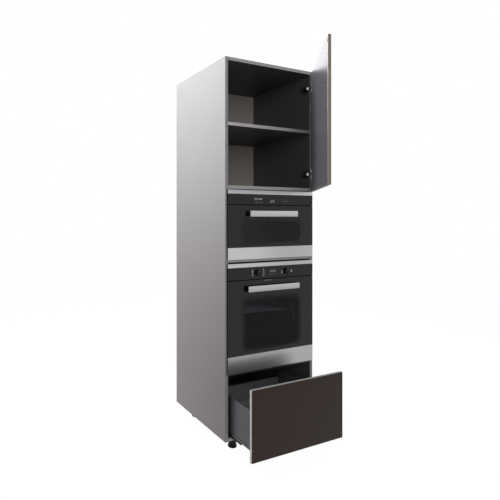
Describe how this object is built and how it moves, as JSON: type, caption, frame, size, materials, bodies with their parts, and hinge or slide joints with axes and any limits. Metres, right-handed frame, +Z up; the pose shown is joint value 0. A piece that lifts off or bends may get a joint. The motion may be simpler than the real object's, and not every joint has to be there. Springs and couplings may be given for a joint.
{
  "type": "oven housing unit",
  "caption": "Tall kitchen housing unit with an oven and a compact oven, a hinged cupboard door above and a deep drawer below, on round feet.",
  "frame": {"origin": "on the floor, midway between the four feet", "axes": "+X to the right of someone facing the fronts, +Y to the back, +Z up"},
  "size_m": [0.614, 1.0916, 2.155],
  "materials": {
    "carcass_laminate": "satin grey melamine laminate with grey edge bands and an anthracite inner face",
    "back_laminate": "satin dark grey laminate",
    "fitting_steel": "nickel-plated satin steel",
    "foot_plastic": "black moulded plastic",
    "front_lacquer": "dark brown high-gloss laminate",
    "bumper_rubber": "clear soft plastic",
    "drawer_metal": "satin anthracite powder coat",
    "drawer_board": "satin dark grey laminate",
    "runner_steel": "galvanised steel",
    "casing_steel": "galvanised sheet steel",
    "enamel_dark": "dark speckled enamel",
    "cavity_steel": "satin stainless steel",
    "strip_steel": "fine brushed stainless steel",
    "black_glass": "black-printed polished glass",
    "smoked_glass": "smoked polished glass",
    "frame_enamel": "satin black enamel",
    "handle_steel": "satin stainless steel",
    "black_plastic": "black moulded plastic",
    "rack_chrome": "bright chromed wire"
  },
  "bodies": {
    "carcass": {"left_gable": "carcass_laminate", "right_gable": "carcass_laminate", "top_panel": "carcass_laminate", "bottom_panel": "carcass_laminate", "oven_deck": "carcass_laminate", "compact_deck": "carcass_laminate", "cupboard_floor": "carcass_laminate", "adjustable_shelf": "carcass_laminate", "rear_rails": "carcass_laminate", "upper_back_panel": "back_laminate", "lower_back_panel": "back_laminate", "shelf_pins": "fitting_steel", "cam_fittings": "fitting_steel", "foot_front_left": "foot_plastic", "foot_front_right": "foot_plastic", "foot_rear_left": "foot_plastic", "foot_rear_right": "foot_plastic", "foot_sockets": "foot_plastic", "hinge_arms": "fitting_steel", "hinge_plates": "fitting_steel", "cabinet_runners": "runner_steel", "oven_casing": "casing_steel", "oven_chamber": "enamel_dark", "oven_top_strip": "strip_steel", "oven_control_panel": "black_glass", "oven_hinges": "fitting_steel", "side_racks": "rack_chrome", "wire_rack": "rack_chrome", "baking_tray": "enamel_dark", "fan_cover": "enamel_dark", "compact_casing": "casing_steel", "compact_chamber": "cavity_steel", "compact_top_strip": "strip_steel", "compact_control_panel": "black_glass", "compact_hinges": "fitting_steel"},
    "cupboard_door": {"door_panel": "front_lacquer", "hinge_cups": "fitting_steel", "door_bumpers": "bumper_rubber"},
    "drawer": {"drawer_front": "front_lacquer", "drawer_side_left": "drawer_metal", "drawer_side_right": "drawer_metal", "drawer_bottom": "drawer_board", "drawer_back": "drawer_board", "front_brackets": "drawer_metal", "drawer_rails": "runner_steel"},
    "drawer_middle": {"middle_runners": "runner_steel"},
    "oven_door": {"oven_door_frame": "frame_enamel", "oven_door_glass": "black_glass", "oven_inner_glass": "smoked_glass", "oven_base_strip": "strip_steel", "oven_handle": "handle_steel", "oven_handle_ends": "black_plastic"},
    "compact_door": {"compact_door_frame": "frame_enamel", "compact_door_glass": "black_glass", "compact_inner_glass": "smoked_glass", "compact_base_strip": "strip_steel", "compact_handle": "handle_steel", "compact_handle_ends": "black_plastic"},
    "knob_left": {"oven_knob_left": "black_plastic"},
    "knob_right": {"oven_knob_right": "black_plastic"}
  },
  "joints": [
    {"name": "cupboard_door_hinge", "type": "hinge", "parent": "carcass", "child": "cupboard_door", "pos_m": [0.29586, -0.301, 1.786], "axis": [0, 0, 1], "range_deg": [-54, 41]},
    {"name": "drawer_slide", "type": "slide", "parent": "carcass", "child": "drawer", "axis": [0, -1, 0], "range_m": [-0.216, 0.274]},
    {"name": "runner_slide", "type": "slide", "parent": "carcass", "child": "drawer_middle", "axis": [0, -1, 0], "range_m": [-0.108, 0.137]},
    {"name": "oven_door_hinge", "type": "hinge", "parent": "carcass", "child": "oven_door", "pos_m": [0, -0.2945, 0.443], "axis": [1, 0, 0], "range_deg": [0, 90]},
    {"name": "compact_door_hinge", "type": "hinge", "parent": "carcass", "child": "compact_door", "pos_m": [0, -0.2945, 1.06], "axis": [1, 0, 0], "range_deg": [0, 90]},
    {"name": "left_knob_turn", "type": "hinge", "parent": "carcass", "child": "knob_left", "pos_m": [-0.1, -0.2995, 0.979], "axis": [0, -1, 0], "continuous": true},
    {"name": "right_knob_turn", "type": "hinge", "parent": "carcass", "child": "knob_right", "pos_m": [0.1, -0.2995, 0.979], "axis": [0, -1, 0], "continuous": true}
  ],
  "couplings": [
    {"joint": "runner_slide", "follows": "drawer_slide", "ratio": 0.5}
  ]
}
